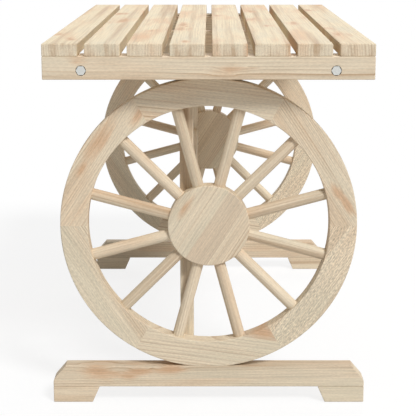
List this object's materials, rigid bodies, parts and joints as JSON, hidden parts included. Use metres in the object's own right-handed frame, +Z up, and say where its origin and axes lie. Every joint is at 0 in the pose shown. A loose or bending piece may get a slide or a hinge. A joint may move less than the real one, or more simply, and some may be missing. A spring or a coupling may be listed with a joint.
{
  "type": "wagon wheel table",
  "caption": "Rustic fir table with a slatted top carried on wooden wagon wheels standing on footed cross beams.",
  "frame": {"origin": "on the floor, under the middle of the table", "axes": "+Z up, slats along Y, front wheel facing -Y, +X to the right seen from the front"},
  "size_m": [0.494, 0.9, 0.575],
  "materials": {
    "solid_fir": "matte",
    "glued_fir_disc": "matte",
    "beech_dowel": "matte",
    "zinc_plated_steel": "satin",
    "screw_steel": "satin"
  },
  "bodies": {
    "root": {"base_screws": "screw_steel", "bearer_screws": "screw_steel", "centre_batten": "solid_fir", "foot_screws": "screw_steel", "front_base_beam": "solid_fir", "front_bearer": "solid_fir", "front_end_rail": "solid_fir", "front_felloe_1": "solid_fir", "front_felloe_2": "solid_fir", "front_felloe_3": "solid_fir", "front_felloe_4": "solid_fir", "front_felloe_5": "solid_fir", "front_felloe_6": "solid_fir", "front_felloe_dowels": "beech_dowel", "front_hub": "glued_fir_disc", "front_left_foot": "solid_fir", "front_right_foot": "solid_fir", "front_spokes": "solid_fir", "front_upright": "solid_fir", "rail_bolts": "zinc_plated_steel", "rail_nuts": "zinc_plated_steel", "rear_base_beam": "solid_fir", "rear_bearer": "solid_fir", "rear_end_rail": "solid_fir", "rear_felloe_1": "solid_fir", "rear_felloe_2": "solid_fir", "rear_felloe_3": "solid_fir", "rear_felloe_4": "solid_fir", "rear_felloe_5": "solid_fir", "rear_felloe_6": "solid_fir", "rear_felloe_dowels": "beech_dowel", "rear_hub": "glued_fir_disc", "rear_left_foot": "solid_fir", "rear_right_foot": "solid_fir", "rear_spokes": "solid_fir", "rear_upright": "solid_fir", "slat_1": "solid_fir", "slat_2": "solid_fir", "slat_3": "solid_fir", "slat_4": "solid_fir", "slat_5": "solid_fir", "slat_6": "solid_fir", "slat_7": "solid_fir", "slat_8": "solid_fir", "slat_screws": "screw_steel", "stretcher": "solid_fir", "stretcher_dowels": "beech_dowel", "upright_screws": "screw_steel"}
  },
  "joints": []
}
